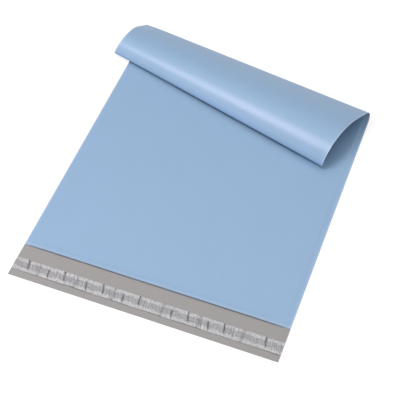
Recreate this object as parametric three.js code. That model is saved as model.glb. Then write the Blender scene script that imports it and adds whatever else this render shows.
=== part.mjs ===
// Poly mailer bag: a flat courier bag of plastic film, lying on its back panel with its bottom end rolled
// up and back over its front panel.
//
// Millimetres, +Z up. The bag is worked out laid flat, from the middle of its mouth on the underside: +X
// runs across it, +Y from the mouth to the bottom fold, and the flap reaches out to -Y. At the end the
// whole bag is moved so that its origin is in the middle of its footprint, on the surface it lies on.
import * as THREE from "three";
import { mergeVertices } from "three/addons/utils/BufferGeometryUtils.js";

// The bag laid flat.
const BAG_WIDTH = 368;
const BODY_LENGTH = 538; // mouth to bottom fold
const FLAP_LENGTH = 51; // back panel past the mouth
const WELD_WIDTH = 6; // band along each side where the two walls are fused

// The film.
const FILM = 0.25; // one wall
const POCKET_GAP = 0.5; // air between the walls, clear of the welds
const WELD_SHOULDER = 4; // width over which the front wall climbs off a weld
const FOLD_STEPS = 4; // facets round the bottom fold

// The closure: a band of glue on the flap under a peel-off liner, which is wider so that it can be gripped.
const GLUE_INSET = 16; // flap's edge to the glue
const GLUE_WIDTH = 9;
const GLUE_THICKNESS = 0.25;
const LINER_OVERHANG = { edge: 6, mouth: 4.5 }; // past the glue, towards the flap's edge and the mouth
const LINER_THICKNESS = 0.25;

// The rolled end. Film bends in one direction only, so it bends along straight lines from side to side.
// The lines fan out to the right, which makes the roll a cone that is wider there. They run from a first
// line, placed along the two sides back from the bottom fold, up to the fold itself. The first share of
// the roll bends over backwards, and the rest arches down to the loose edge.
const ROLL_START = { left: 102, right: 164 };
const BACK_BEND = { turn: THREE.MathUtils.degToRad(155), share: 0.2 };
const ARCH_TURN = THREE.MathUtils.degToRad(91);
const ROLL_LINES = 80;

const COLORS = { film: 0x9db9d8, glue: 0xc9c4b4, liner: 0xcfd0d2 };

const HALF_WIDTH = BAG_WIDTH / 2;
const WELD_LINE = HALF_WIDTH - WELD_WIDTH;
const OPEN_LINE = WELD_LINE - WELD_SHOULDER;
const ACROSS_BAG = [-HALF_WIDTH, -WELD_LINE, -OPEN_LINE, OPEN_LINE, WELD_LINE, HALF_WIDTH];
const ACROSS_POCKET = [-WELD_LINE, -OPEN_LINE, OPEN_LINE, WELD_LINE];
const FOLD_RADIUS = FILM + POCKET_GAP / 2;

// Heights of the film's faces over the underside, at a place x across the bag.
const gapAt = (x) => (Math.abs(x) > OPEN_LINE ? 0 : POCKET_GAP);
const underside = () => 0;
const floor = () => FILM;
const roof = (x) => FILM + gapAt(x);
const front = (x) => roof(x) + FILM;

// Turn of the film at a share s of the roll: the back bend eases in and out, and the arch tightens all the
// way to the edge.
function turnAt(s) {
  const arched = Math.max(0, (s - BACK_BEND.share) / (1 - BACK_BEND.share));
  return BACK_BEND.turn * THREE.MathUtils.smoothstep(s, 0, BACK_BEND.share) + ARCH_TURN * arched ** 2;
}

// Turn about the line from p to q.
function turnAbout(p, q, angle) {
  const axis = new THREE.Vector3().subVectors(q, p).normalize();
  return new THREE.Matrix4()
    .makeTranslation(p)
    .multiply(new THREE.Matrix4().makeRotationAxis(axis, angle))
    .multiply(new THREE.Matrix4().makeTranslation(-p.x, -p.y, -p.z));
}

// A row is a straight line across the flat bag, from y = left on one side to y = right on the other, with
// the placement of the film on it. Where the film bends on the row, its normal is the mitre of the two
// sides'.
function makeRow(left, right, before, after = before) {
  const n0 = new THREE.Vector3(0, 0, 1).transformDirection(before);
  const n1 = new THREE.Vector3(0, 0, 1).transformDirection(after);
  const normal = n0.clone().add(n1).divideScalar(1 + n0.dot(n1));
  return { left, right, place: after, normal };
}

// Rows along the roll, each bending the film a little further than the one before.
function rollRows() {
  const rows = [];
  let before = new THREE.Matrix4();
  for (let i = 0; i < ROLL_LINES; i++) {
    const ahead = 1 - (i + 0.5) / ROLL_LINES;
    const left = BODY_LENGTH - ROLL_START.left * ahead;
    const right = BODY_LENGTH - ROLL_START.right * ahead;
    const angle = turnAt((i + 1) / ROLL_LINES) - turnAt(i / ROLL_LINES);
    const p = new THREE.Vector3(-HALF_WIDTH, left, 0);
    const q = new THREE.Vector3(HALF_WIDTH, right, 0);
    const after = before.clone().multiply(turnAbout(p, q, angle));
    rows.push(makeRow(left, right, before, after));
    before = after;
  }
  return rows;
}

const FLAT = new THREE.Matrix4();
const ROLL = rollRows();
const ROLLED = ROLL[ROLL.length - 1].place;
const FLAP_EDGE = makeRow(-FLAP_LENGTH, -FLAP_LENGTH, FLAT);
const MOUTH = makeRow(0, 0, FLAT);
const FOLD = makeRow(BODY_LENGTH - FOLD_RADIUS, BODY_LENGTH - FOLD_RADIUS, ROLLED);
const FLAP_ROWS = [FLAP_EDGE, MOUTH];
const BODY_ROWS = [MOUTH, ...ROLL, FOLD];

// Point of the placed film: x across a row, at a height over the underside.
function filmPoint(row, x, height) {
  const y = THREE.MathUtils.mapLinear(x, -HALF_WIDTH, HALF_WIDTH, row.left, row.right);
  return new THREE.Vector3(x, y, 0).applyMatrix4(row.place).addScaledVector(row.normal, height);
}

// Point of the bottom fold at a share of the way round it, on an arc from one face of the film to the
// other.
function foldPoint(x, reach, low, high, share) {
  const angle = Math.PI * (share - 0.5);
  const y = FOLD.left + reach * Math.cos(angle);
  const height = (low + high) / 2 + ((high - low) / 2) * Math.sin(angle);
  return new THREE.Vector3(x, y, height).applyMatrix4(ROLLED);
}

// Grids of points, row by row. A grid faces the way that its columns turned into its rows point.
const sheet = (rows, xs, level) => rows.map((row) => xs.map((x) => filmPoint(row, x, level(x))));
const wall = (row, xs, low, high) => [low, high].map((level) => xs.map((x) => filmPoint(row, x, level(x))));
const edge = (rows, x, levels) => rows.map((row) => levels.map((level) => filmPoint(row, x, level(x))));
const foldShares = Array.from({ length: FOLD_STEPS + 1 }, (_, i) => i / FOLD_STEPS);
const turnedOver = (grid) => grid.map((row) => [...row].reverse());

function outerFold() {
  const across = (share) => ACROSS_BAG.map((x) => foldPoint(x, FOLD_RADIUS, 0, front(x), share));
  return foldShares.map(across);
}

function innerFold() {
  const across = (share) => ACROSS_POCKET.map((x) => foldPoint(x, gapAt(x) / 2, FILM, roof(x), share));
  return foldShares.map(across);
}

function foldEnd(x) {
  const middle = filmPoint(FOLD, x, FILM);
  return foldShares.map((share) => [middle, foldPoint(x, FOLD_RADIUS, 0, front(x), share)]);
}

// Closed geometry from grids of points. A cell whose corners meet gives one triangle or none.
function geometryOf(grids) {
  const positions = [];
  const addTriangle = (a, b, c) => {
    if (a.equals(b) || b.equals(c) || c.equals(a)) return;
    for (const p of [a, b, c]) positions.push(p.x, p.y, p.z);
  };
  for (const grid of grids) {
    for (let r = 0; r + 1 < grid.length; r++) {
      for (let c = 0; c + 1 < grid[r].length; c++) {
        addTriangle(grid[r][c], grid[r][c + 1], grid[r + 1][c + 1]);
        addTriangle(grid[r][c], grid[r + 1][c + 1], grid[r + 1][c]);
      }
    }
  }
  const loose = new THREE.BufferGeometry();
  loose.setAttribute("position", new THREE.Float32BufferAttribute(positions, 3));
  const geometry = mergeVertices(loose);
  geometry.computeVertexNormals();
  return geometry;
}

// One web of film: back panel with its flap, bottom fold and front panel, with an open pocket between the
// side welds.
function bagFilm() {
  const geometry = geometryOf([
    turnedOver(sheet([FLAP_EDGE, ...BODY_ROWS], ACROSS_BAG, underside)),
    sheet(FLAP_ROWS, ACROSS_BAG, floor),
    sheet(BODY_ROWS, ACROSS_BAG, front),
    sheet(BODY_ROWS, ACROSS_POCKET, floor),
    turnedOver(sheet(BODY_ROWS, ACROSS_POCKET, roof)),
    wall(FLAP_EDGE, ACROSS_BAG, underside, floor),
    wall(MOUTH, ACROSS_BAG, roof, front),
    edge(FLAP_ROWS, -HALF_WIDTH, [underside, floor]),
    turnedOver(edge(FLAP_ROWS, HALF_WIDTH, [underside, floor])),
    edge(BODY_ROWS, -HALF_WIDTH, [underside, floor, front]),
    turnedOver(edge(BODY_ROWS, HALF_WIDTH, [underside, floor, front])),
    turnedOver(outerFold()),
    innerFold(),
    turnedOver(foldEnd(-HALF_WIDTH)),
    foldEnd(HALF_WIDTH),
  ]);
  const material = new THREE.MeshStandardMaterial({ color: COLORS.film, roughness: 0.45, metalness: 0 });
  return new THREE.Mesh(geometry, material);
}

// Flat band across the flap, an inset from the flap's edge and at a height over the underside.
function flapBand(inset, width, height, thickness, look) {
  const band = new THREE.Mesh(
    new THREE.BoxGeometry(BAG_WIDTH, width, thickness),
    new THREE.MeshStandardMaterial({ metalness: 0, ...look }),
  );
  band.position.set(0, -FLAP_LENGTH + inset + width / 2, height + thickness / 2);
  return band;
}

const film = bagFilm();
film.name = "bag_film";

const glue = flapBand(GLUE_INSET, GLUE_WIDTH, FILM, GLUE_THICKNESS, { color: COLORS.glue, roughness: 0.3 });
glue.name = "adhesive_strip";

const linerInset = GLUE_INSET - LINER_OVERHANG.edge;
const linerWidth = GLUE_WIDTH + LINER_OVERHANG.edge + LINER_OVERHANG.mouth;
const linerLook = { color: COLORS.liner, roughness: 0.4 };
const liner = flapBand(linerInset, linerWidth, FILM + GLUE_THICKNESS, LINER_THICKNESS, linerLook);
liner.name = "release_liner";

const mailer = new THREE.Group();
mailer.add(film, glue, liner);

const extent = new THREE.Box3().setFromObject(mailer);
const middle = extent.getCenter(new THREE.Vector3());
mailer.position.set(-middle.x, -middle.y, -extent.min.z);

export default mailer;
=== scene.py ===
"""Poly mailer bag: a flat courier bag of plastic film with its bottom end rolled up over its front.

Metres, +Z up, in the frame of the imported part. The film is laid out flat first: u runs across the
web and v along it, from the mouth to the bottom fold. Then it is folded along straight lines into
its rolled end.
"""

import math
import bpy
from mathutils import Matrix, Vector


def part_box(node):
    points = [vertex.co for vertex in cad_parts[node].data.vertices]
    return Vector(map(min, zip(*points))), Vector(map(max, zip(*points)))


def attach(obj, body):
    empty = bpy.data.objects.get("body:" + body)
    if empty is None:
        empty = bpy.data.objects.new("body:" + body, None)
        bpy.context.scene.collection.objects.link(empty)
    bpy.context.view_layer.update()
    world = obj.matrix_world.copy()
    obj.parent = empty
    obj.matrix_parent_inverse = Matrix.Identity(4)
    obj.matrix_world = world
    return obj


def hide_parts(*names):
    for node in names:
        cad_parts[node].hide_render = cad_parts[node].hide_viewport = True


bl_info = {
    "name": "Poly mailer bag",
    "version": (1, 0, 0),
    "blender": (4, 5, 0),
    "location": "3D View > Sidebar > Mailer",
    "description": "Builds a courier bag of plastic film with a rolled end, and a small studio",
    "category": "Add Mesh",
}

from typing import NamedTuple

import bmesh
import bpy
import numpy as np
from bpy.props import FloatProperty, FloatVectorProperty, IntProperty, PointerProperty
from bpy.types import Operator, Panel, PropertyGroup
from mathutils import Matrix, Vector

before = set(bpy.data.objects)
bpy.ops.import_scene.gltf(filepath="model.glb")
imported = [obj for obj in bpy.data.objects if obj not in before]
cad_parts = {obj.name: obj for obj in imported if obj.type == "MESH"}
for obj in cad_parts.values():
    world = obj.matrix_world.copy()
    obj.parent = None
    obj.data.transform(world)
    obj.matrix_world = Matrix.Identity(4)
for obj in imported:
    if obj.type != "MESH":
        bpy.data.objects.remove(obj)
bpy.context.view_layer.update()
FILM_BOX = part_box("bag_film")
GLUE_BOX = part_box("adhesive_strip")
LINER_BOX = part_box("release_liner")

MM = 0.001


# Settings


def srgb(*levels):
    """Linear colour from 0-255 screen levels."""
    shares = [level / 255 for level in levels]
    return tuple(s / 12.92 if s <= 0.04045 else ((s + 0.055) / 1.055) ** 2.4 for s in shares)


def length(name, description, default):
    return FloatProperty(
        name=name, description=description, default=default, min=0, unit="LENGTH", precision=5
    )


def angle(name, description, default):
    return FloatProperty(name=name, description=description, default=default, subtype="ANGLE")


def ratio(name, description, default):
    return FloatProperty(name=name, description=description, default=default)


def watts(name, description, default):
    return FloatProperty(name=name, description=description, default=default, subtype="POWER")


def whole(name, description, default, least=0):
    return IntProperty(name=name, description=description, default=default, min=least)


def colour(name, description, default):
    return FloatVectorProperty(
        name=name, description=description, default=default, size=3, min=0, max=1, subtype="COLOR"
    )


class BagSizes(PropertyGroup):
    """The bag laid flat."""

    width: length("Width", "Side to side", LINER_BOX[1].x - LINER_BOX[0].x)
    body: length("Body", "Mouth to bottom fold", 538 * MM)
    flap: length("Flap", "Back panel past the mouth", 51 * MM)
    weld: length("Weld", "Fused band along each side", 6 * MM)
    shoulder: length("Weld shoulder", "Width over which the front wall climbs off a weld", 4 * MM)
    film: length("Film", "Thickness of one wall", 0.25 * MM)
    gap: length("Pocket gap", "Air between the two walls", 0.5 * MM)
    mouth_lift: length("Mouth lift", "How far the front panel's edge stands off the flap", 1 * MM)
    mouth_reach: length("Mouth reach", "Length of front panel that lifts", 13 * MM)


class RollShape(PropertyGroup):
    """The rolled end: a tight bend at the back, then an arch down to the loose edge."""

    start_left: length("Start, left", "Bottom fold to the first fold line, left side", 102 * MM)
    start_right: length("Start, right", "Bottom fold to the first fold line, right side", 164 * MM)
    bend: angle("Back bend", "Turn of the back bend", math.radians(155))
    bend_share: ratio("Bend share", "Share of the roll in the back bend", 0.2)
    arch: angle("Arch", "Turn of the arch, tighter towards the loose edge", math.radians(91))
    lines: whole("Lines", "Fold lines along the roll", 160, least=8)
    droop: ratio("Droop", "Share of its height that the left end's crown loses", 0.16)
    flare: length("Flare", "How far the left end spreads at its flanks", 2.4 * MM)
    slack_reach: length("Slack reach", "How far in from the left side the roll is slack", 12 * MM)

    def turn_at(self, s):
        """Turn of the film at a share s of the roll."""
        arched = max(0.0, (s - self.bend_share) / (1 - self.bend_share))
        return self.bend * float(ease(0, self.bend_share, s)) + self.arch * arched**2


class LinerShape(PropertyGroup):
    """The peel-off strip over the glue, which has crept and creased across its width."""

    slant: ratio("Slant", "Sideways run of a crease per length", 0.19)
    crease_width: length("Crease width", "Width of a crease's shadowed side", 1.15 * MM)
    crease_lift: length("Crease lift", "How far the liner stands up at a crease", 0.7 * MM)
    wrinkle_lift: length("Wrinkle lift", "Height of the fine wrinkles", 0.2 * MM)
    ragged: length("Ragged edge", "How far the long edges wander", 0.25 * MM)
    wrinkles: whole("Wrinkles", "Fine wrinkles along the whole strip", 150)
    puckers: whole("Puckers", "Strong wrinkles beside each long crease", 11)


class Finishes(PropertyGroup):
    """Colours of the film and the closure."""

    outside: colour("Film outside", "Outer layer of the film", srgb(138, 170, 200))
    inside: colour("Film inside", "Inner layer, which shows on the flap", srgb(145, 144, 142))
    glue: colour("Glue", "Band of adhesive", srgb(176, 172, 160))
    liner: colour("Liner", "Peel-off strip, clear of the glue", srgb(178, 180, 181))
    bonded: colour("Bonded liner", "Peel-off strip, on the glue", srgb(151, 152, 154))
    crease: colour("Crease", "Shadow in the liner's creases", srgb(58, 57, 62))


class Studio(PropertyGroup):
    """Lamps and camera."""

    key: watts("Key", "Softbox high on the left", 16)
    top: watts("Top", "Large soft panel overhead", 13)
    mouth: watts("Mouth", "Lamp high over the bag's mouth", 1.2)
    side: watts("Side", "Soft panel low on the right, into the roll", 5.5)
    card: watts("Card", "Bright card low on the left in front", 9)
    ambient: FloatProperty(
        name="Ambient", description="Even light from all round", default=0.06, min=0
    )
    lens: FloatProperty(
        name="Lens", description="Focal length on a 36 mm frame", default=108, unit="CAMERA"
    )
    distance: length("Distance", "Camera to its aim", 1.6411)
    azimuth: angle("Azimuth", "Heading of the view", -0.3079)
    elevation: angle("Elevation", "Camera over the horizon", 0.8962)
    tilt: angle("Tilt", "Turn of the picture", 0.0531)
    aim: FloatVectorProperty(
        name="Aim",
        description="Middle of the picture, from the middle of the mouth",
        default=(0.0059, 0.1553, 0),
        subtype="XYZ",
        unit="LENGTH",
    )


class MailerSettings(PropertyGroup):
    """Everything a user can change on the bag and its studio."""

    bag: PointerProperty(type=BagSizes)
    roll: PointerProperty(type=RollShape)
    liner: PointerProperty(type=LinerShape)
    finish: PointerProperty(type=Finishes)
    studio: PointerProperty(type=Studio)


# Shapes


def ease(low, high, x):
    """0 below low, 1 above high, smooth between."""
    t = np.clip((x - low) / (high - low), 0, 1)
    return t * t * (3 - 2 * t)


def bell(x, width):
    """1 at 0, falling away over a width on both sides."""
    return np.exp(-((x / width) ** 2))


def span(begin, end, soft, x):
    """1 from begin to end, with soft ends."""
    return ease(begin - soft, begin + soft, x) * (1 - ease(end - soft, end + soft, x))


def wave(x, rate, phase=0):
    return np.sin(x * rate + phase)


def steps(begin, end, number):
    """Even steps from begin, which is left out, to end."""
    return np.linspace(begin, end, number + 1)[1:]


def mouth_middle(bag):
    """Middle of the mouth on the floor, in the part's frame."""
    middle = (LINER_BOX[0] + LINER_BOX[1]) / 2
    return Vector((middle.x, FILM_BOX[0].y + bag.flap, 0))


def fold_about(p, q, turn):
    """Turn about the line from p to q."""
    return Matrix.Translation(p) @ Matrix.Rotation(turn, 4, q - p) @ Matrix.Translation(-p)


# Steps of the film's mesh: across half of it, along it up to the roll, and round the bottom fold.
OPEN_STEPS, SHOULDER_STEPS, WELD_STEPS = 32, 5, 4
FLAP_STEPS, LIP_STEPS, PANEL_STEPS = 12, 11, 45
FOLD_STEPS = 8
FOLD_CLEARANCE = 0.1 * MM  # rows closer to the bottom fold than this are left out
HAIR = 1e-9  # slack for rounding

# The slack left end of the roll, in shares of the arch from its crown to the loose edge.
FLANK_PLACE, FLANK_WIDTH = 0.25, 0.22  # where the end spreads most
EDGE_SPREAD, EDGE_WIDTH = 0.6, 0.2  # how much of that the loose edge spreads
DROOP_POWER = 6  # how fast the sinking dies away from the crown

# Slow waves of the front panel over the pocket's air, in radians per metre.
DRAPE = 0.35  # share of the pocket's gap
DRAPE_ACROSS, DRAPE_ALONG, DRAPE_PHASE = 31, 23, 0.6
DRAPE_SWAY, DRAPE_SWAY_ALONG = 1.3, 17
DRAPE_FADE_IN = (0, 40 * MM)  # along the panel, from the mouth
DRAPE_FADE_OUT = (260 * MM, 300 * MM)
LIFT_SIDES = 40 * MM  # the mouth's lift dies away towards the welds
LIFT_POWER = 1.6  # and along the panel


class Web:
    """The film laid out and rolled up, in rows of points with their flat coordinates u and v."""

    def __init__(self, bag, roll):
        self.bag = bag
        self.half = bag.width / 2
        self.weld_line = self.half - bag.weld
        self.open_line = self.weld_line - bag.shoulder
        self.us = self.places_across()
        self.in_pocket = np.abs(self.us) <= self.weld_line + HAIR
        self.mouth_row = FLAP_STEPS
        rows = self.rows(roll)
        flat = np.zeros((len(rows), len(self.us), 4))
        share = (self.us + self.half) / bag.width
        self.points = np.zeros((len(rows), len(self.us), 3))
        for r, (left, right, place) in enumerate(rows):
            flat[r, :, 0] = self.us
            flat[r, :, 1] = left + (right - left) * share
            flat[r, :, 3] = 1
            self.points[r] = (flat[r] @ np.array(place).T)[:, :3]
        self.u, self.v = flat[..., 0], flat[..., 1]
        self.slacken(roll)
        self.points += np.array(mouth_middle(bag))
        across = np.gradient(self.points, axis=1)
        along = np.gradient(self.points, axis=0)
        normals = np.cross(across, along)
        self.normals = normals / np.linalg.norm(normals, axis=-1, keepdims=True)
        tail = self.points[-1] - self.points[-2]
        self.tail = tail / np.linalg.norm(tail, axis=-1, keepdims=True)

    def slacken(self, roll):
        """Let the limp left end of the roll sink at its crown and spread at its flanks."""
        start = self.bag.body - roll.start_left
        share = np.clip((self.v - start) / roll.start_left, 0, 1)
        arch = np.clip((share - roll.bend_share) / (1 - roll.bend_share), 0, 1)
        near = bell(self.u + self.half, roll.slack_reach)
        near = near * ease(0, roll.bend_share, share)
        spread = bell(arch - FLANK_PLACE, FLANK_WIDTH) + EDGE_SPREAD * bell(arch - 1, EDGE_WIDTH)
        self.points[..., 0] -= roll.flare * near * spread
        self.points[..., 2] *= 1 - roll.droop * near * (1 - arch) ** DROOP_POWER

    def places_across(self):
        inner = steps(0, self.open_line, OPEN_STEPS)
        climb = steps(self.open_line, self.weld_line, SHOULDER_STEPS)
        weld = steps(self.weld_line, self.half, WELD_STEPS)
        side = np.concatenate([inner, climb, weld])
        return np.concatenate([-np.flip(side), [0], side])

    def rows(self, roll):
        """Rows from the flap's edge to the fold: v on the left side, v on the right, placement."""
        bag = self.bag
        level = Matrix.Identity(4)
        rows = [(v, v, level) for v in np.linspace(-bag.flap, 0, FLAP_STEPS + 1)]
        rows += [(v, v, level) for v in steps(0, bag.mouth_reach, LIP_STEPS)]
        first = (bag.body - roll.start_left, bag.body - roll.start_right)
        for share in steps(0, 1, PANEL_STEPS)[:-1]:
            ends = [bag.mouth_reach + (end - bag.mouth_reach) * share for end in first]
            rows.append((*ends, level))
        place = level
        for i in range(roll.lines):
            share = (i + 0.5) / roll.lines
            left, right = (start + (bag.body - start) * share for start in first)
            turn = roll.turn_at((i + 1) / roll.lines) - roll.turn_at(i / roll.lines)
            p, q = Vector((-self.half, left, 0)), Vector((self.half, right, 0))
            rows.append((left, right, place @ fold_about(p, q, turn / 2)))
            place = place @ fold_about(p, q, turn)
        fold = bag.body - self.fold_radius()
        clear = [row for row in rows if max(row[:2]) < fold - FOLD_CLEARANCE]
        return clear + [(fold, fold, place)]

    def fold_radius(self):
        return self.bag.film + self.bag.gap / 2

    def gap(self):
        """Air between the walls at each point."""
        bag, out = self.bag, np.abs(self.u)
        inside = 1 - ease(self.open_line, self.weld_line, out)
        sway = DRAPE_SWAY * wave(self.v, DRAPE_SWAY_ALONG)
        waves = wave(self.u, DRAPE_ACROSS, sway) * wave(self.v, DRAPE_ALONG, DRAPE_PHASE)
        waved = ease(*DRAPE_FADE_IN, self.v) * (1 - ease(*DRAPE_FADE_OUT, self.v))
        sides = 1 - ease(self.weld_line - LIFT_SIDES, self.weld_line, out)
        fall = (1 - ease(0, bag.mouth_reach, self.v)) ** LIFT_POWER
        lift = bag.mouth_lift * np.sqrt(sides) * fall
        return inside * bag.gap * (1 + DRAPE * waves * waved) + np.where(inside > 0, lift, 0)

    def layer(self, height):
        """The film's points, raised by a height over its underside."""
        return self.points + self.normals * np.broadcast_to(height, self.u.shape)[..., None]


MERGE_DISTANCE = 1e-7
LEAST_EDGE = 1e-8


class Skin:
    """Mesh gathered from grids of points. A grid faces the way its columns turned into its rows
    point."""

    def __init__(self):
        self.points, self.marks, self.faces, self.finish = [], [], [], []
        self.count = 0

    def add(self, grid, marks, finish=0, flip=False):
        rows, columns = grid.shape[:2]
        index = self.count + np.arange(rows * columns).reshape(rows, columns)
        corners = [index[:-1, :-1], index[:-1, 1:], index[1:, 1:], index[1:, :-1]]
        quads = np.stack(corners[::-1] if flip else corners, -1).reshape(-1, 4)
        self.points.append(grid.reshape(-1, 3))
        self.marks.append(marks.reshape(-1, marks.shape[-1]))
        self.faces.append(quads)
        self.finish.append(np.full(len(quads), finish))
        self.count += rows * columns

    def make(self, name, mark_names, materials, crisp):
        """One closed mesh object, with marks as attributes and edges crisp past an angle."""
        mesh = bpy.data.meshes.new(name)
        points, faces = np.concatenate(self.points), np.concatenate(self.faces)
        mesh.from_pydata(points.tolist(), [], faces.tolist())
        marks = np.concatenate(self.marks)
        for column, mark_name in enumerate(mark_names):
            values = np.ascontiguousarray(marks[:, column], np.float32)
            mesh.attributes.new(mark_name, "FLOAT", "POINT").data.foreach_set("value", values)
        finish = np.concatenate(self.finish).astype(np.int32)
        mesh.polygons.foreach_set("material_index", finish)
        work = bmesh.new()
        work.from_mesh(mesh)
        bmesh.ops.remove_doubles(work, verts=work.verts, dist=MERGE_DISTANCE)
        bmesh.ops.dissolve_degenerate(work, edges=work.edges, dist=LEAST_EDGE)
        loose = [edge for edge in work.edges if not edge.is_manifold]
        if loose:
            raise RuntimeError(f"{name}: {len(loose)} edges don't join two faces")
        work.to_mesh(mesh)
        work.free()
        for material in materials:
            mesh.materials.append(material)
        mesh.shade_smooth()
        mesh.set_sharp_from_angle(angle=crisp)
        piece = bpy.data.objects.new(name, mesh)
        bpy.context.scene.collection.objects.link(piece)
        return piece


OUTSIDE, INSIDE = 0, 1
FILM_MARKS = ("web_u", "web_v", "weld", "trim", "lip", "rim", "hem")
WELD_BLUR = 0.5 * MM
# Painted highlight: the outside is lightened within this width of each cut side.
SIDE_HIGHLIGHT_WIDTH = 2 * MM
# Painted highlight: a lighter band on the outside, this far in from the mouth's edge.
LIP_HIGHLIGHT_PLACE, LIP_HIGHLIGHT_WIDTH = 3 * MM, 1.4 * MM
# Painted shade: the outside is darkened within this width of the mouth's cut edge.
MOUTH_SHADE_WIDTH = 1 * MM
# Painted shade along the bottom fold, over this width.
HEM_SHADE_WIDTH = 2.4 * MM
PRESSED_PLACE, PRESSED_WIDTH, PRESSED_SHARE = 6 * MM, 1.2 * MM, 0.25  # back from the fold
FILM_CRISP = math.radians(40)


def film_marks(web):
    """Per point: flat coordinates, fused band, painted highlight along the cut sides and a little
    in from the mouth's edge, painted shade at the mouth's cut edge and along the bottom fold, and a
    darker pressed line back from the fold."""
    out, to_fold = np.abs(web.u), web.v - web.bag.body
    weld = ease(web.weld_line - WELD_BLUR, web.weld_line + WELD_BLUR, out)
    # Painted highlight along the cut sides.
    trim = ease(web.half - SIDE_HIGHLIGHT_WIDTH, web.half, out)
    # Painted highlight a little in from the mouth's edge.
    lip = bell(web.v - LIP_HIGHLIGHT_PLACE, LIP_HIGHLIGHT_WIDTH) * (web.v >= 0)
    # Painted shade at the mouth's cut edge.
    rim = bell(web.v, MOUTH_SHADE_WIDTH) * (web.v >= 0)
    pressed = bell(to_fold + PRESSED_PLACE, PRESSED_WIDTH) * PRESSED_SHARE
    # Painted shade along the bottom fold, with the darker pressed line added.
    hem = pressed + bell(to_fold, HEM_SHADE_WIDTH)
    return np.stack([web.u, web.v, weld, trim, lip, rim, hem], -1)


def build_film(bag, roll, materials):
    web = Web(bag, roll)
    marks = film_marks(web)
    floor = np.full_like(web.u, bag.film)
    roof = floor + web.gap()
    front = roof + bag.film
    under_points, floor_points = web.layer(0), web.layer(floor)
    roof_points, front_points = web.layer(roof), web.layer(front)
    m, pocket = web.mouth_row, web.in_pocket
    skin = Skin()
    skin.add(under_points, marks, OUTSIDE, flip=True)
    skin.add(floor_points[: m + 1], marks[: m + 1], INSIDE)
    skin.add(front_points[m:], marks[m:], OUTSIDE)
    skin.add(floor_points[m:][:, pocket], marks[m:][:, pocket], INSIDE)
    skin.add(roof_points[m:][:, pocket], marks[m:][:, pocket], INSIDE, flip=True)

    # Cut edges of the flap, the mouth and the two sides.
    skin.add(np.stack([under_points[0], floor_points[0]]), np.stack([marks[0]] * 2), INSIDE)
    skin.add(np.stack([roof_points[m], front_points[m]]), np.stack([marks[m]] * 2), OUTSIDE)
    for side, flip in ((0, False), (-1, True)):
        flap = np.stack([under_points[: m + 1, side], floor_points[: m + 1, side]], 1)
        skin.add(flap, np.stack([marks[: m + 1, side]] * 2, 1), INSIDE, flip)
        levels = [under_points[m:, side], floor_points[m:, side], front_points[m:, side]]
        skin.add(np.stack(levels, 1), np.stack([marks[m:, side]] * 3, 1), INSIDE, flip)

    # Bottom fold, on arcs from the underside round to the front.
    turns = np.linspace(-math.pi / 2, math.pi / 2, FOLD_STEPS + 1)
    base, tail, normal = web.points[-1], web.tail, web.normals[-1]

    def bend(low, high, reach):
        middle, half = (low + high) / 2, (high - low) / 2
        rows = []
        for turn in turns:
            height = middle + half * math.sin(turn)
            past = reach * math.cos(turn)
            rows.append(base + tail * past[:, None] + normal * height[:, None])
        return np.stack(rows)

    outer = bend(0 * floor[-1], front[-1], np.full_like(floor[-1], web.fold_radius()))
    inner = bend(floor[-1], roof[-1], (roof[-1] - floor[-1]) / 2)
    turned = np.stack([marks[-1]] * len(turns))
    skin.add(outer, turned, OUTSIDE, flip=True)
    skin.add(inner[:, pocket], turned[:, pocket], INSIDE)
    for side, flip in ((0, True), (-1, False)):
        hub = np.broadcast_to(floor_points[-1, side], outer[:, side].shape)
        fan = np.stack([hub, outer[:, side]], 1)
        skin.add(fan, np.stack([turned[:, side]] * 2, 1), OUTSIDE, flip)
    return skin.make("mailer_film", FILM_MARKS, materials, FILM_CRISP)


STRIP_CRISP = math.radians(50)


def build_strip(name, places, top, bottom, marks, mark_names, materials):
    """Closed strip over the flap, from the heights of its two faces on a grid of places."""
    upper, lower = np.dstack([places, top]), np.dstack([places, bottom])
    skin = Skin()
    skin.add(upper, marks)
    skin.add(lower, marks, flip=True)
    edges = (
        (np.s_[0, :], 0, False),
        (np.s_[-1, :], 0, True),
        (np.s_[:, 0], 1, False),
        (np.s_[:, -1], 1, True),
    )
    for place, axis, flip in edges:
        pair = np.stack([lower[place], upper[place]], axis)
        skin.add(pair, np.stack([marks[place]] * 2, axis), flip=flip)
    return skin.make(name, mark_names, materials, STRIP_CRISP)


LINER_MARKS = ("crease", "bonded", "wrinkle", "strip_u", "strip_v")
LINER_STEPS_ACROSS, LINER_STEPS_DOWN = 1104, 24
LINER_THINNESS = 0.6  # share of the CAD strip's thickness
LINER_CLEARANCE = 0.02 * MM

# Creases of the liner, in mm across the bag from its middle. Long ones start at the edge next to
# the mouth, short ones further down, and folds are wide and soft. A run is in shares of the way
# down from the mouth's side.
LONG_CREASES = (-166, -115, -61, -11, 55.7, 104, 159.5)
SHORT_CREASES = (-136.4, -83, -32.5, 34.5, 83.7)
SOFT_FOLDS = (-149.5, -95.5, -44.5, 23, 72, 131)
LONG_RUN, SHORT_RUN = (-0.1, 0.78), (0.22, 0.93)
CREASE_SOFT = 0.12
CREASE_SLANT, CREASE_SLANT_GAIN = 0.7, 0.5  # a crease leans further on its way down
CREASE_GIRTH, CREASE_TAPER = 1.2, 0.5  # and gets narrower
CREASE_FADE, CREASE_FADE_RATE = 0.12, 9
KINK, KINK_RATE, KINK_SHIFT = 0.35 * MM, 6, 2.4
RISE_LENGTH, DROP_LENGTH = 6 * MM, 0.8 * MM  # a gentle slope up to a crease, and a steep one off it
FOLD_LEAN, FOLD_SHADE, FOLD_WIDTH = 0.08, 0.36, 1.9 * MM
FOLD_LIFT, FOLD_SWELL = 0.4, 3 * MM

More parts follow.
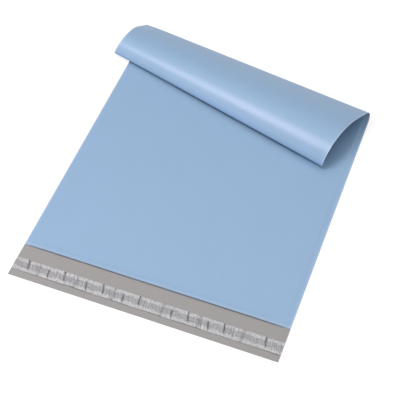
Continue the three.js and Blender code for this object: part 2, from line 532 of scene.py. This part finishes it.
# Fine wrinkles: the ranges that each one is drawn from, with lengths in mm.
WRINKLE_SEED = 11
WRINKLE_STRENGTH, PUCKER_STRENGTH = (0.12, 0.42), (0.45, 1.1)
PUCKER_PLACE = (2, 22)  # past its long crease
WRINKLE_WIDTH, WRINKLE_SLANT = (0.45, 0.85), (0.05, 0.4)
WRINKLE_BEGIN, WRINKLE_RUN, WRINKLE_SOFT = (-0.2, 0.55), (0.3, 0.8), 0.09
LIT_SIDE, LIT_OFFSET = 0.9, 1.6  # strength, and distance in widths
WRINKLE_LOW, WRINKLE_HIGH = 0.8, 1.2

# Long edges of the liner, how far the glue's bond creeps, and how the liner flutters off the glue.
CREASE_NOTCH, WRINKLE_NOTCH = 0.7 * MM, 0.25 * MM
EDGE_RATES, EDGE_PHASES, EDGE_POWER = (310, 187), (0.4, 1.7), 3
CREEP, WRINKLE_CREEP, BOND_SOFT = 0.5 * MM, 0.8 * MM, 1.1 * MM
CREEP_RATE, CREEP_SWAY, CREEP_SWAY_RATE = 260, 2, 61
CREEP_FINE_RATE, CREEP_FINE_PHASE = 431, 1.1
BOND_HOLD = 0.45  # share of its lift that the bonded liner loses
FLUTTER, FLUTTER_RATE, FLUTTER_SWAY, FLUTTER_SWAY_RATE = 0.25 * MM, 90, 3, 23


def crease_liner(shape, u, down, run):
    """Shadow, from 0 to 1, and lift of the liner's creases and soft folds."""
    crease, lift = np.zeros_like(u), np.zeros_like(u)
    for places, (begin, end) in ((LONG_CREASES, LONG_RUN), (SHORT_CREASES, SHORT_RUN)):
        run_down = down - max(begin, 0)
        lean = shape.slant * run * run_down * (CREASE_SLANT + CREASE_SLANT_GAIN * run_down)
        width = shape.crease_width * (CREASE_GIRTH - CREASE_TAPER * run_down)
        for k, place in enumerate(places):
            d = u - (place * MM + lean + KINK * wave(down, KINK_RATE, KINK_SHIFT * k))
            fade = 1 - CREASE_FADE * (1 - wave(down, CREASE_FADE_RATE, k))
            along = span(begin, end, CREASE_SOFT, down) * fade
            rise = np.where(d < 0, np.exp(d / RISE_LENGTH), bell(d, DROP_LENGTH))
            crease = np.maximum(crease, bell(d, width) * along)
            lift = np.maximum(lift, shape.crease_lift * rise * along)
    for k, place in enumerate(SOFT_FOLDS):
        d = u - (place * MM + FOLD_LEAN * run * down * math.sin(3 * k + 1))
        crease = np.maximum(crease, FOLD_SHADE * bell(d, FOLD_WIDTH))
        lift = np.maximum(lift, FOLD_LIFT * shape.crease_lift * bell(d, FOLD_SWELL))
    return crease, lift


def scatter_wrinkles(shape, u, down, run):
    """Fine wrinkles: above 0 on their shaded side, below 0 on their lit side. The strong ones
    crowd on the far side of each long crease."""
    chance = np.random.default_rng(WRINKLE_SEED)
    half = u.max()
    wrinkles = [
        (chance.uniform(-half, half), chance.uniform(*WRINKLE_STRENGTH))
        for _ in range(shape.wrinkles)
    ]
    for place in LONG_CREASES:
        for _ in range(shape.puckers):
            past = (place + chance.uniform(*PUCKER_PLACE)) * MM
            wrinkles.append((past, chance.uniform(*PUCKER_STRENGTH)))
    height = np.zeros_like(u)
    for place, strength in wrinkles:
        width = chance.uniform(*WRINKLE_WIDTH) * MM
        slant = chance.uniform(*WRINKLE_SLANT)
        begin = chance.uniform(*WRINKLE_BEGIN)
        end = begin + chance.uniform(*WRINKLE_RUN)
        d = u - place - slant * run * down
        ridge = bell(d, width) - LIT_SIDE * bell(d - LIT_OFFSET * width, width)
        height += strength * span(begin, end, WRINKLE_SOFT, down) * ridge
    return height


def ragged_edge(shape, u, phase):
    broad, fine = EDGE_RATES
    return shape.ragged * (1 + wave(u, broad, phase) * wave(u, fine, 2 * phase))


def build_liner(shape, materials):
    low, high = LINER_BOX
    run, middle = high.y - low.y, (low.x + high.x) / 2
    us = np.linspace(low.x, high.x, LINER_STEPS_ACROSS + 1)
    u, share = np.meshgrid(us - middle, np.linspace(0, 1, LINER_STEPS_DOWN + 1))
    down = 1 - share  # 0 next to the mouth, 1 next to the flap's edge
    crease, lift = crease_liner(shape, u, down, run)
    wrinkle = scatter_wrinkles(shape, u, down, run)

    notch = CREASE_NOTCH * crease + WRINKLE_NOTCH * np.clip(wrinkle, 0, 1)
    flap_edge, mouth_edge = (ragged_edge(shape, u, phase) + notch for phase in EDGE_PHASES)
    v = low.y + run * share + flap_edge * (1 - share) ** EDGE_POWER - mouth_edge * share**EDGE_POWER

    sway = CREEP_SWAY * wave(u, CREEP_SWAY_RATE)
    creep = wave(u, CREEP_RATE, sway) + wave(u, CREEP_FINE_RATE, CREEP_FINE_PHASE)
    creep = CREEP * creep + WRINKLE_CREEP * wrinkle
    bonded = span(GLUE_BOX[0].y, GLUE_BOX[1].y, BOND_SOFT, v + creep)

    lift += shape.wrinkle_lift * (WRINKLE_LOW + np.clip(wrinkle, -WRINKLE_LOW, WRINKLE_HIGH))
    lift *= 1 - BOND_HOLD * bonded
    flutter = 1 + wave(u, FLUTTER_RATE, FLUTTER_SWAY * wave(u, FLUTTER_SWAY_RATE))
    lift += FLUTTER * (1 - bonded) ** 2 * flutter
    bottom = low.z + LINER_CLEARANCE + lift
    top = bottom + (high.z - low.z) * LINER_THINNESS
    marks = np.stack([crease, bonded, wrinkle, u, v], -1)
    places = np.stack([u + middle, v], -1)
    return build_strip("release_strip", places, top, bottom, marks, LINER_MARKS, materials)


GLUE_MARKS = ("strip_u", "strip_v")
GLUE_STEPS_ACROSS, GLUE_STEPS_DOWN = 184, 10
GLUE_INSET = 0.5 * MM
GLUE_WANDER, GLUE_WANDER_RATES = 0.25 * MM, (210, 97)
GLUE_EDGE, GLUE_CROWN, GLUE_CROWN_POWER = 0.35, 0.6, 4  # in shares of the CAD band's height
GLUE_RIPPLE, GLUE_RIPPLE_RATE, GLUE_RIPPLE_SKEW = 0.15, 340, 40


def build_glue(materials):
    low, high = GLUE_BOX
    us = np.linspace(low.x, high.x, GLUE_STEPS_ACROSS + 1)
    u, share = np.meshgrid(us, np.linspace(0, 1, GLUE_STEPS_DOWN + 1))
    off_middle = 2 * share - 1
    broad, slow = GLUE_WANDER_RATES
    wander = GLUE_WANDER * (wave(u, broad) + wave(u, slow, 1))
    width = high.y - low.y - 2 * GLUE_INSET
    v = low.y + GLUE_INSET + width * share + wander * off_middle
    ripple = 1 - GLUE_RIPPLE * (1 - wave(u, GLUE_RIPPLE_RATE, GLUE_RIPPLE_SKEW * share))
    crown = GLUE_CROWN * (1 - off_middle**GLUE_CROWN_POWER) * ripple
    top = low.z + (high.z - low.z) * (GLUE_EDGE + crown)
    bottom = np.full_like(top, low.z)
    marks = np.stack([u - (low.x + high.x) / 2, v], -1)
    return build_strip("glue_band", np.dstack([u, v]), top, bottom, marks, GLUE_MARKS, materials)


# Finishes


class Grain(NamedTuple):
    """How a surface of film varies."""

    lines: float  # share of die lines, against mottle
    spread: float  # variation of its colour
    rough: tuple  # least and most roughness
    bump: float  # strength of its relief
    depth: float  # height of its relief


OUTSIDE_GRAIN = Grain(0.55, 0.018, (0.31, 0.36), 0.10, 0.12 * MM)
INSIDE_GRAIN = Grain(0.35, 0.03, (0.46, 0.56), 0.15, 0.15 * MM)
GLUE_GRAIN = Grain(0.2, 0.08, (0.22, 0.36), 0.3, 0.2 * MM)
LINER_GRAIN = Grain(0.5, 0.08, (0.30, 0.42), 0.3, 0.2 * MM)
BONDED_SPREAD = 0.10

STREAKS_ACROSS, STREAKS_ALONG = 260, 5
MOTTLE_SCALE, TOOTH_SCALE, FLECK_SCALE = 24, 900, 380
TOOTH_HEIGHT = 0.35
NOISE_RANGE = (0.3, 0.7)  # where most of a noise lies

# Colours painted at the film's marks, as painted highlights and painted shade: share where the
# mark is full, and linear colour.
FILM_TINTS = {
    # painted highlight along the cut sides
    "trim": (0.55, (0.56, 0.65, 0.76)),
    # painted highlight a little in from the mouth's edge
    "lip": (0.28, (0.50, 0.58, 0.68)),
    # painted shade at the mouth's cut edge
    "rim": (0.5, (0.10, 0.14, 0.20)),
    # painted shade along the bottom fold, and the darker pressed line back from it
    "hem": (0.62, (0.06, 0.19, 0.44)),
}
CRIMP_RATE, CRIMP_HEIGHT = 4200, 0.4  # ribs across the welds, in radians per metre

# Levels that the liner's colour is multiplied by.
FLECK_LEVELS = (0.74, 1.22)
LIT_LEVEL, SHADED_LEVEL = 1.34, 0.62


def put(tree, kind, inputs=None, **settings):
    """New node with its settings, and its inputs set or linked."""
    node = tree.nodes.new(kind)
    for name, value in settings.items():
        setattr(node, name, value)
    for name, value in (inputs or {}).items():
        if isinstance(value, bpy.types.NodeSocket):
            tree.links.new(value, node.inputs[name])
        else:
            node.inputs[name].default_value = value
    return node


def sums(tree, operation, a, b):
    return put(tree, "ShaderNodeMath", {0: a, 1: b}, operation=operation).outputs[0]


def blend(tree, share, a, b, mode="MIX"):
    """Colour b over colour a."""
    node = put(tree, "ShaderNodeMix", {0: share, 6: a, 7: b}, data_type="RGBA", blend_type=mode)
    return node.outputs[2]


def noise(tree, place, scale, detail):
    inputs = {"Vector": place, "Scale": scale, "Detail": detail}
    return put(tree, "ShaderNodeTexNoise", inputs).outputs["Fac"]


def point(tree, x, y):
    return put(tree, "ShaderNodeCombineXYZ", {0: x, 1: y}).outputs[0]


def mark(tree, name):
    return put(tree, "ShaderNodeAttribute", attribute_name=name).outputs["Fac"]


def opaque(rgb):
    return (*rgb, 1.0)


def film_grain():
    """Shared look of blown film: die lines along the web, slow mottle and a fine tooth."""
    name = "Film Grain"
    if name in bpy.data.node_groups:
        return bpy.data.node_groups[name]
    tree = bpy.data.node_groups.new(name, "ShaderNodeTree")
    face = tree.interface
    face.new_socket("Across", in_out="INPUT", socket_type="NodeSocketFloat")
    face.new_socket("Along", in_out="INPUT", socket_type="NodeSocketFloat")
    lines = face.new_socket("Die Lines", in_out="INPUT", socket_type="NodeSocketFloat")
    lines.default_value = 0.5
    face.new_socket("Shade", in_out="OUTPUT", socket_type="NodeSocketFloat")
    face.new_socket("Height", in_out="OUTPUT", socket_type="NodeSocketFloat")
    given = put(tree, "NodeGroupInput").outputs
    across, along = given["Across"], given["Along"]
    streaks = point(
        tree,
        sums(tree, "MULTIPLY", across, STREAKS_ACROSS),
        sums(tree, "MULTIPLY", along, STREAKS_ALONG),
    )
    web = point(tree, across, along)
    line = noise(tree, streaks, 1, 3)
    mottle = noise(tree, web, MOTTLE_SCALE, 3)
    tooth = noise(tree, web, TOOTH_SCALE, 2)
    inputs = {0: given["Die Lines"], 2: mottle, 3: line}
    shade = put(tree, "ShaderNodeMix", inputs, data_type="FLOAT").outputs[0]
    height = sums(tree, "ADD", sums(tree, "MULTIPLY", tooth, TOOTH_HEIGHT), shade)
    put(tree, "NodeGroupOutput", {"Shade": shade, "Height": height})
    return tree


def start_material(name):
    """Empty material with its Principled shader linked to the output."""
    material = bpy.data.materials.new(name)
    material.use_nodes = True
    tree = material.node_tree
    tree.nodes.clear()
    shader = put(tree, "ShaderNodeBsdfPrincipled")
    put(tree, "ShaderNodeOutputMaterial", {"Surface": shader.outputs[0]})
    return material, tree, shader


def grain_of(tree, across, along, grain):
    """Shade and height of the shared grain, over two marks of the piece."""
    node = put(tree, "ShaderNodeGroup", node_tree=film_grain())
    tree.links.new(mark(tree, across), node.inputs["Across"])
    tree.links.new(mark(tree, along), node.inputs["Along"])
    node.inputs["Die Lines"].default_value = grain.lines
    return node.outputs["Shade"], node.outputs["Height"]


def vary(tree, shade, low, high):
    begin, end = NOISE_RANGE
    inputs = {0: shade, 1: begin, 2: end, 3: low, 4: high}
    return put(tree, "ShaderNodeMapRange", inputs).outputs[0]


def tinted(tree, shade, rgb, spread):
    """A colour with a little variation over the surface."""
    dark = opaque([c * (1 - spread) for c in rgb])
    light = opaque([min(1.0, c * (1 + spread)) for c in rgb])
    return blend(tree, vary(tree, shade, 0, 1), dark, light)


def finish_with(tree, shader, base, shade, height, grain):
    """Link the colour, roughness and relief of a surface to its shader."""
    relief = {"Strength": grain.bump, "Distance": grain.depth, "Height": height}
    bump = put(tree, "ShaderNodeBump", relief)
    tree.links.new(base, shader.inputs["Base Color"])
    tree.links.new(vary(tree, shade, *grain.rough), shader.inputs["Roughness"])
    tree.links.new(bump.outputs[0], shader.inputs["Normal"])


def film_outside(finish):
    material, tree, shader = start_material("film_outside")
    shade, height = grain_of(tree, "web_u", "web_v", OUTSIDE_GRAIN)
    base = tinted(tree, shade, finish.outside, OUTSIDE_GRAIN.spread)
    # Painted highlights along the cut sides and by the mouth, and painted shade at the mouth's edge
    # and along the bottom fold.
    for name, (strength, rgb) in FILM_TINTS.items():
        share = sums(tree, "MULTIPLY", mark(tree, name), strength)
        base = blend(tree, share, base, opaque(rgb))
    turn = sums(tree, "MULTIPLY", mark(tree, "web_v"), CRIMP_RATE)
    crimp = put(tree, "ShaderNodeMath", {0: turn}, operation="SINE").outputs[0]
    crimp = sums(tree, "MULTIPLY", crimp, mark(tree, "weld"))
    height = sums(tree, "ADD", height, sums(tree, "MULTIPLY", crimp, CRIMP_HEIGHT))
    finish_with(tree, shader, base, shade, height, OUTSIDE_GRAIN)
    return material


def film_inside(finish):
    material, tree, shader = start_material("film_inside")
    shade, height = grain_of(tree, "web_u", "web_v", INSIDE_GRAIN)
    base = tinted(tree, shade, finish.inside, INSIDE_GRAIN.spread)
    finish_with(tree, shader, base, shade, height, INSIDE_GRAIN)
    return material


def glue_band(finish):
    material, tree, shader = start_material("glue_band")
    shade, height = grain_of(tree, "strip_u", "strip_v", GLUE_GRAIN)
    base = tinted(tree, shade, finish.glue, GLUE_GRAIN.spread)
    finish_with(tree, shader, base, shade, height, GLUE_GRAIN)
    return material


def release_strip(finish):
    material, tree, shader = start_material("release_strip")
    shade, height = grain_of(tree, "strip_u", "strip_v", LINER_GRAIN)
    clear = tinted(tree, shade, finish.liner, LINER_GRAIN.spread)
    bonded = tinted(tree, shade, finish.bonded, BONDED_SPREAD)
    base = blend(tree, mark(tree, "bonded"), clear, bonded)
    place = point(tree, mark(tree, "strip_u"), mark(tree, "strip_v"))
    fleck = noise(tree, place, FLECK_SCALE, 4)
    # Painted light and shade: the liner is lightened on each wrinkle's lit side and darkened on its
    # shaded side.
    inputs = {0: mark(tree, "wrinkle"), 1: -1, 2: 1, 3: LIT_LEVEL, 4: SHADED_LEVEL}
    wrinkle = put(tree, "ShaderNodeMapRange", inputs).outputs[0]
    level = sums(tree, "MULTIPLY", wrinkle, vary(tree, fleck, *FLECK_LEVELS))
    grey = put(tree, "ShaderNodeCombineColor", {0: level, 1: level, 2: level}).outputs[0]
    base = blend(tree, 1.0, base, grey, "MULTIPLY")
    base = blend(tree, mark(tree, "crease"), base, opaque(finish.crease))
    finish_with(tree, shader, base, shade, height, LINER_GRAIN)
    return material


# Studio


class Lamp(NamedTuple):
    """A rectangular lamp, in metres. Its power is the studio's setting of that name."""

    name: str
    power: str
    size: tuple
    place: tuple
    aim: tuple
    tint: tuple = (1, 1, 1)


AT_ROLL = (0.0, 0.13, 0.0)
LAMPS = (
    Lamp("key_softbox", "key", (0.8, 0.8), (-0.76, -0.36, 1.46), AT_ROLL, (1, 0.91, 0.965)),
    Lamp("top_panel", "top", (2.4, 2.0), (-0.1, 0.2, 1.6), (-0.05, 0.1, 0.0)),
    Lamp("mouth_lamp", "mouth", (0.4, 0.4), (0.3, -0.4, 0.95), (0.05, -0.2, 0.0)),
    Lamp("side_lamp", "side", (1.8, 1.0), (1.3, -0.05, 0.6), (0.1, 0.08, 0.0)),
    Lamp("front_card", "card", (2.0, 1.0), (-1.1, -1.4, 0.75), AT_ROLL),
)

WHITE = (1, 1, 1, 1)
FLOOR_REACH, FLOOR_LEVEL = 8.0, -0.4 * MM
FLOOR_GREY = 0.78  # for the light that the floor gives back
SHADOW_GREY, SHADOW_GLOW = 0.36, 0.72  # near the bag, where the floor shows its shadow
SHADOW_FADE = (0.5, 1.2)  # distances over which the shadow's floor turns white
FRAME_WIDTH = 36  # of the camera, in mm


def seen_rays(tree):
    """1 where something is looked at, straight or in a reflection, and 0 for the light it gives."""
    rays = put(tree, "ShaderNodeLightPath").outputs
    straight = sums(tree, "MAXIMUM", rays["Is Camera Ray"], rays["Is Transmission Ray"])
    return sums(tree, "MAXIMUM", straight, rays["Is Glossy Ray"])


def mix_shaders(tree, share, a, b):
    inputs = {0: share, 1: a.outputs[0], 2: b.outputs[0]}
    return put(tree, "ShaderNodeMixShader", inputs)


def diffuse(tree, grey):
    return put(tree, "ShaderNodeBsdfDiffuse", {"Color": opaque([grey] * 3)})


def glow(tree, strength):
    return put(tree, "ShaderNodeEmission", {"Color": WHITE, "Strength": strength})


def floor_finish():
    """White to the eye and in reflections, with the shadow kept round the bag, and plain pale for
    the light it gives back."""
    material = bpy.data.materials.new("studio_floor")
    material.use_nodes = True
    tree = material.node_tree
    tree.nodes.clear()
    shadowed, lit = diffuse(tree, SHADOW_GREY), glow(tree, SHADOW_GLOW)
    near = put(tree, "ShaderNodeAddShader", {0: shadowed.outputs[0], 1: lit.outputs[0]})
    place = put(tree, "ShaderNodeNewGeometry").outputs["Position"]
    distance = put(tree, "ShaderNodeVectorMath", {0: place}, operation="LENGTH").outputs["Value"]
    begin, end = SHADOW_FADE
    away = put(tree, "ShaderNodeMapRange", {0: distance, 1: begin, 2: end}).outputs[0]
    shown = mix_shaders(tree, away, near, glow(tree, 1))
    mixed = mix_shaders(tree, seen_rays(tree), diffuse(tree, FLOOR_GREY), shown)
    put(tree, "ShaderNodeOutputMaterial", {"Surface": mixed.outputs[0]})
    return material


def make_floor():
    mesh = bpy.data.meshes.new("studio_floor")
    r, z = FLOOR_REACH, FLOOR_LEVEL
    corners = [(-r, -r, z), (r, -r, z), (r, r, z), (-r, r, z)]
    mesh.from_pydata(corners, [], [(0, 1, 2, 3)])
    mesh.materials.append(floor_finish())
    floor = bpy.data.objects.new("studio_floor", mesh)
    bpy.context.scene.collection.objects.link(floor)


def make_world(strength):
    world = bpy.data.worlds.new("studio_air")
    bpy.context.scene.world = world
    world.use_nodes = True
    tree = world.node_tree
    tree.nodes.clear()
    light = put(tree, "ShaderNodeBackground", {"Color": WHITE, "Strength": strength})
    white = put(tree, "ShaderNodeBackground", {"Color": WHITE, "Strength": 1})
    mixed = mix_shaders(tree, seen_rays(tree), light, white)
    put(tree, "ShaderNodeOutputWorld", {"Surface": mixed.outputs[0]})


def make_lamp(lamp, power):
    light = bpy.data.lights.new(lamp.name, "AREA")
    light.energy = power
    light.color = lamp.tint
    light.shape = "RECTANGLE"
    light.size, light.size_y = lamp.size
    holder = bpy.data.objects.new(lamp.name, light)
    holder.location = lamp.place
    facing = Vector(lamp.aim) - Vector(lamp.place)
    holder.rotation_euler = facing.to_track_quat("-Z", "Y").to_euler()
    holder.visible_camera = False
    bpy.context.scene.collection.objects.link(holder)


def make_camera(studio, origin):
    a, e, t = studio.azimuth, studio.elevation, studio.tilt
    forward = Vector((math.sin(a) * math.cos(e), math.cos(a) * math.cos(e), -math.sin(e)))
    level = Vector((math.cos(a), -math.sin(a), 0))
    upright = level.cross(forward)
    right = level * math.cos(t) + upright * math.sin(t)
    up = upright * math.cos(t) - level * math.sin(t)
    camera = bpy.data.cameras.new("studio_camera")
    camera.sensor_width = FRAME_WIDTH
    camera.lens = studio.lens
    holder = bpy.data.objects.new("studio_camera", camera)
    axes = Matrix((right, up, -forward)).transposed().to_4x4()
    place = origin + Vector(studio.aim) - forward * studio.distance
    holder.matrix_world = Matrix.Translation(place) @ axes
    bpy.context.scene.collection.objects.link(holder)
    bpy.context.scene.camera = holder


# Operators


class MAILER_OT_film(Operator):
    """Make the bag: one web of film folded at the bottom, welded along both sides and rolled up"""

    bl_idname = "mailer.film"
    bl_label = "Film bag"

    def execute(self, context):
        settings = context.scene.mailer
        materials = [film_outside(settings.finish), film_inside(settings.finish)]
        piece = build_film(settings.bag, settings.roll, materials)
        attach(piece, "root")
        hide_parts("bag_film")
        return {"FINISHED"}


class MAILER_OT_glue(Operator):
    """Make the band of glue on the flap"""

    bl_idname = "mailer.glue"
    bl_label = "Glue band"

    def execute(self, context):
        piece = build_glue([glue_band(context.scene.mailer.finish)])
        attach(piece, "root")
        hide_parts("adhesive_strip")
        return {"FINISHED"}


class MAILER_OT_liner(Operator):
    """Make the creased peel-off strip over the glue"""

    bl_idname = "mailer.liner"
    bl_label = "Release strip"

    def execute(self, context):
        settings = context.scene.mailer
        piece = build_liner(settings.liner, [release_strip(settings.finish)])
        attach(piece, "root")
        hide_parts("release_liner")
        return {"FINISHED"}


class MAILER_OT_studio(Operator):
    """Make the floor, the light and the camera"""

    bl_idname = "mailer.studio"
    bl_label = "Studio"

    def execute(self, context):
        studio = context.scene.mailer.studio
        make_floor()
        make_world(studio.ambient)
        for lamp in LAMPS:
            make_lamp(lamp, getattr(studio, lamp.power))
        make_camera(studio, mouth_middle(context.scene.mailer.bag))
        context.scene.view_settings.view_transform = "Standard"
        return {"FINISHED"}


class MAILER_PT_sidebar(Panel):
    bl_label = "Mailer bag"
    bl_idname = "MAILER_PT_sidebar"
    bl_space_type = "VIEW_3D"
    bl_region_type = "UI"
    bl_category = "Mailer"

    def draw(self, context):
        settings = context.scene.mailer
        for title, group in (
            ("Bag", settings.bag),
            ("Rolled end", settings.roll),
            ("Liner", settings.liner),
            ("Finishes", settings.finish),
            ("Studio", settings.studio),
        ):
            box = self.layout.box()
            box.label(text=title)
            for name in group.__annotations__:
                box.prop(group, name)
        for operator in OPERATORS:
            self.layout.operator(operator.bl_idname)


OPERATORS = (MAILER_OT_film, MAILER_OT_glue, MAILER_OT_liner, MAILER_OT_studio)
GROUPS = (BagSizes, RollShape, LinerShape, Finishes, Studio, MailerSettings)
CLASSES = (*GROUPS, *OPERATORS, MAILER_PT_sidebar)


def register():
    for cls in CLASSES:
        bpy.utils.register_class(cls)
    bpy.types.Scene.mailer = PointerProperty(type=MailerSettings)


def unregister():
    del bpy.types.Scene.mailer
    for cls in reversed(CLASSES):
        bpy.utils.unregister_class(cls)


def main():
    register()
    bpy.ops.mailer.film()
    bpy.ops.mailer.glue()
    bpy.ops.mailer.liner()
    bpy.ops.mailer.studio()


if __name__ == "__main__":
    main()
